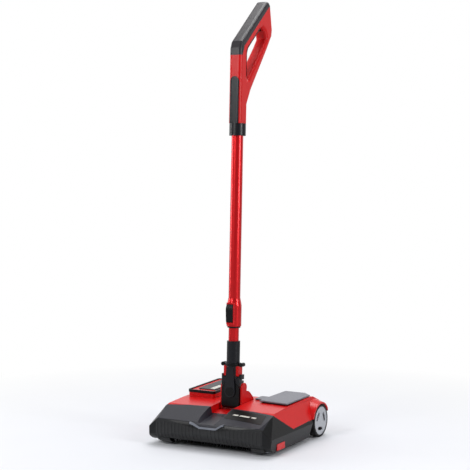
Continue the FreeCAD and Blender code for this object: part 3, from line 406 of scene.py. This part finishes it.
def slanted_bar(bm, place, along, up, slant, length, width, thick):
    """Thin parallelogram plate lying in the plane of along and up."""
    out = along.cross(up).normalized()
    corners = [place - along * length / 2 - up * width / 2,
               place + along * length / 2 - up * width / 2,
               place + along * length / 2 + up * width / 2 + along * slant,
               place - along * length / 2 + up * width / 2 + along * slant]
    band(bm, [[corner - out * thick for corner in corners],
              [corner + out * thick for corner in corners]])


def badge_marks():
    """Plain pale bars on the badge, each given by its length and its place along it."""
    up = Vector((0, 1, BADGE_SLOPE)).normalized()
    along = Vector((1, -0.07, -0.027)).normalized()
    x, y = MARK_CENTRE
    z = BADGE_EDGE_Z + BADGE_SLOPE * (y - BADGE_EDGE_Y) + MARK_LIFT
    centre = Vector((x * MM, y * MM, z * MM))
    bm = bmesh.new()
    for length, shift in MARKS:
        slanted_bar(bm, centre + along * shift * MM, along, up, MARK_SLANT * MM, length * MM,
                    MARK_WIDTH * MM, MARK_THICK * MM)
    piece_from(bm, "badge_marks", "pale_label", "head")


# ---------------------------------------------------------------- stage

# The floor's reach, the distances between which a painted white glow fades in over it, so that
# # the floor is painted darker round the sweeper, and how bright its glowing part is for the light
# # that it gives off (m, and a share of what the camera sees).
FLOOR_HALF = 30.0
FADE_START = 0.35
FADE_END = 1.3
FLOOR_GIVES = 0.35

# The studio's white: the way to its bright side, and how bright the side by the viewer is.
BRIGHT_SIDE = (-0.483, 0.875, 0.15)
DIM_SHARE = 0.14


def look_from(place, azimuth, pitch, lens):
    data = bpy.data.cameras.new("camera")
    data.lens = lens
    data.sensor_width = 36
    data.clip_end = 100
    camera = bpy.data.objects.new("camera", data)
    bpy.context.scene.collection.objects.link(camera)
    camera.location = place
    camera.rotation_euler = (math.radians(90 - pitch), 0, math.radians(azimuth))
    bpy.context.scene.camera = camera


def area_light(name, place, aim, size, power):
    data = bpy.data.lights.new(name, "AREA")
    data.shape = "RECTANGLE"
    data.size, data.size_y = size
    data.energy = power
    light = bpy.data.objects.new(name, data)
    bpy.context.scene.collection.objects.link(light)
    light.location = place
    light.rotation_euler = (Vector(aim) - Vector(place)).to_track_quat("-Z", "Y").to_euler()


def pale_floor():
    """Pale floor with a painted glow fading in away from the sweeper: painted shade round it, white
    beyond.
    """
    mesh = bpy.data.meshes.new("floor")
    corners = [(-FLOOR_HALF, -FLOOR_HALF, 0), (FLOOR_HALF, -FLOOR_HALF, 0),
               (FLOOR_HALF, FLOOR_HALF, 0), (-FLOOR_HALF, FLOOR_HALF, 0)]
    mesh.from_pydata(corners, [], [(0, 1, 2, 3)])
    floor = bpy.data.objects.new("floor", mesh)
    bpy.context.scene.collection.objects.link(floor)
    s = Shader("floor_white")
    s.set(Base_Color=s.mix(s.noise(3.0), linear(222, 224, 230), linear(228, 230, 235)),
          Roughness=0.7)
    distance = s.node("ShaderNodeVectorMath", {0: s.place}, operation="LENGTH").outputs["Value"]
    seen = s.node("ShaderNodeLightPath").outputs["Is Camera Ray"]
    strength = s.remap(seen, 0, 1, FLOOR_GIVES, 1.0)
    glow = s.node("ShaderNodeEmission", {"Color": (1, 1, 1, 1), "Strength": strength})
    # Painted shade pool: the floor stays a lit pale grey near the sweeper and turns to a painted
    # glowing white further out.
    painted_glow_share = s.remap(distance, FADE_START, FADE_END, 0.0, 1.0)
    blend = s.node("ShaderNodeMixShader", {0: painted_glow_share})
    s.tree.links.new(s.surface.outputs[0], blend.inputs[1])
    s.tree.links.new(glow.outputs[0], blend.inputs[2])
    s.tree.links.new(blend.outputs[0], s.tree.nodes["Material Output"].inputs["Surface"])
    mesh.materials.append(s.material)


def studio_air():
    """White studio: bright behind the sweeper, dimmer on the side that faces the viewer."""
    world = bpy.data.worlds.new("studio")
    world.use_nodes = True
    bpy.context.scene.world = world
    tree = world.node_tree
    background = tree.nodes["Background"]
    coordinates = tree.nodes.new("ShaderNodeTexCoord")
    facing = tree.nodes.new("ShaderNodeVectorMath")
    facing.operation = "DOT_PRODUCT"
    facing.inputs[1].default_value = BRIGHT_SIDE
    tree.links.new(coordinates.outputs["Generated"], facing.inputs[0])
    share = tree.nodes.new("ShaderNodeMapRange")
    share.inputs["From Min"].default_value = 0.1
    share.inputs["From Max"].default_value = 1.0
    share.inputs["To Min"].default_value = DIM_SHARE
    share.inputs["To Max"].default_value = 1.0
    tree.links.new(facing.outputs["Value"], share.inputs["Value"])
    path = tree.nodes.new("ShaderNodeLightPath")
    seen = tree.nodes.new("ShaderNodeMath")
    seen.operation = "MAXIMUM"
    tree.links.new(share.outputs[0], seen.inputs[0])
    tree.links.new(path.outputs["Is Camera Ray"], seen.inputs[1])
    background.inputs["Color"].default_value = (1.0, 1.0, 1.0, 1)
    tree.links.new(seen.outputs[0], background.inputs["Strength"])
    bpy.context.scene.view_settings.view_transform = "Standard"


look_from((1.7075, -3.1171, 0.791), azimuth=28.9, pitch=3.68, lens=100)
pale_floor()
studio_air()
area_light("key", (-0.9, -2.6, 2.0), (0, 0, 0.4), (0.9, 1.6), 44)
area_light("left_strip", (-2.4, -0.6, 1.2), (0, 0, 0.6), (0.5, 1.8), 18)
area_light("right_strip", (2.6, -0.3, 1.4), (0, 0, 0.5), (0.5, 1.8), 34)
area_light("top", (0.0, 0.8, 2.8), (0, 0, 0.1), (1.6, 1.2), 40)

bristle_rows()
loop_liner()
strip_bead()
badge_marks()
